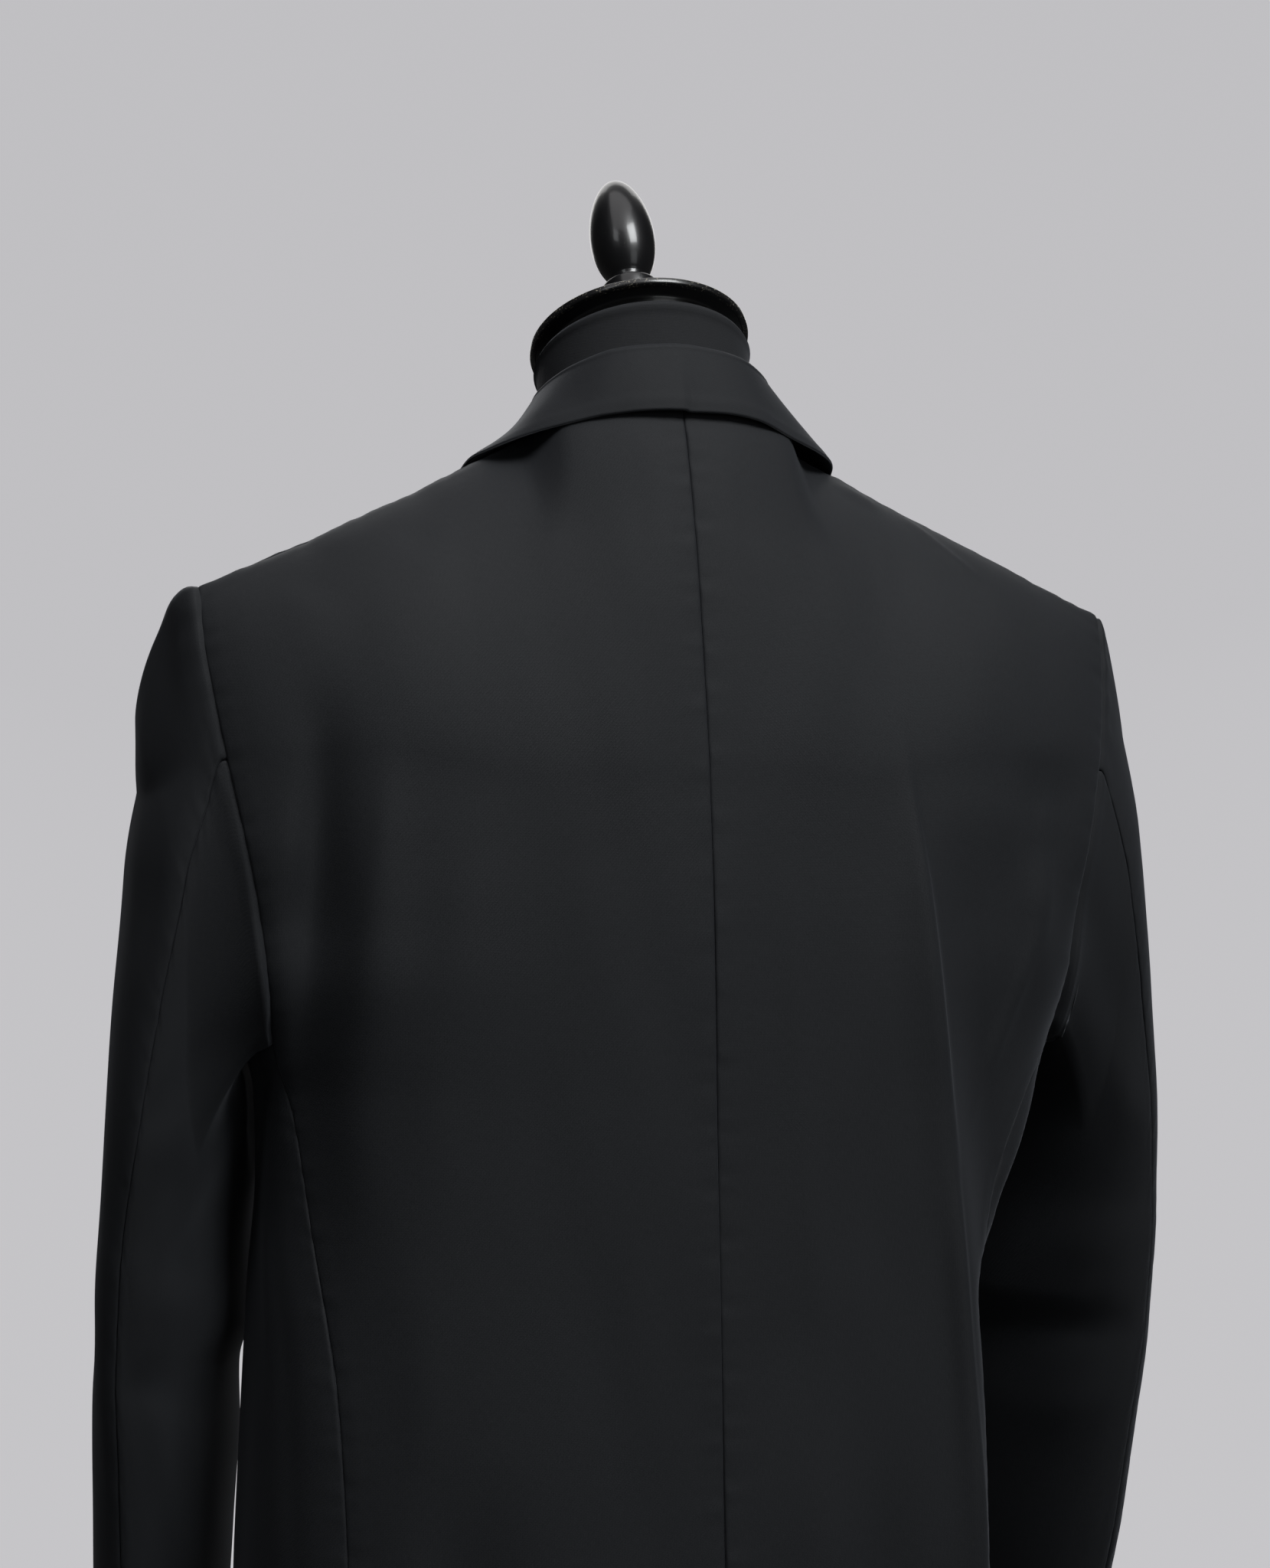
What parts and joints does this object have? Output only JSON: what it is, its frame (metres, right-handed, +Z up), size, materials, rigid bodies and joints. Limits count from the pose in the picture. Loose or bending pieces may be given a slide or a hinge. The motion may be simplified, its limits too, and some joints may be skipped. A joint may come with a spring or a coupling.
{
  "type": "blazer on a limbless dress form",
  "caption": "Black notched-lapel blazer with long two-piece sleeves, draped on a limbless dress form with a turned cap, a finial and a round stand.",
  "frame": {"origin": "middle of the round base's underside, on the surface that the stand rests on", "axes": "+Z up, -Y the way the garment faces, +X the wearer's left"},
  "size_m": [0.5983, 0.34, 1.0538],
  "materials": {
    "cloth": "plain black wool suiting, matt with a faint sheen",
    "covering": "taut black jersey",
    "lacquer": "black lacquer, worn at the rim",
    "horn": "semi-gloss black",
    "paint": "satin black"
  },
  "bodies": {
    "root": {"back_left": "cloth", "back_right": "cloth", "side_left": "cloth", "side_right": "cloth", "front_left": "cloth", "front_right": "cloth", "sleeve_left_top": "cloth", "sleeve_left_under": "cloth", "sleeve_right_top": "cloth", "sleeve_right_under": "cloth", "collar": "cloth", "lapel_left": "cloth", "lapel_right": "cloth", "pocket_flap_left": "cloth", "pocket_flap_right": "cloth", "front_button_upper": "horn", "front_button_lower": "horn", "form_torso": "covering", "form_neck_cap": "lacquer", "form_finial": "lacquer", "stand_pole": "paint", "stand_base": "paint"}
  },
  "joints": []
}
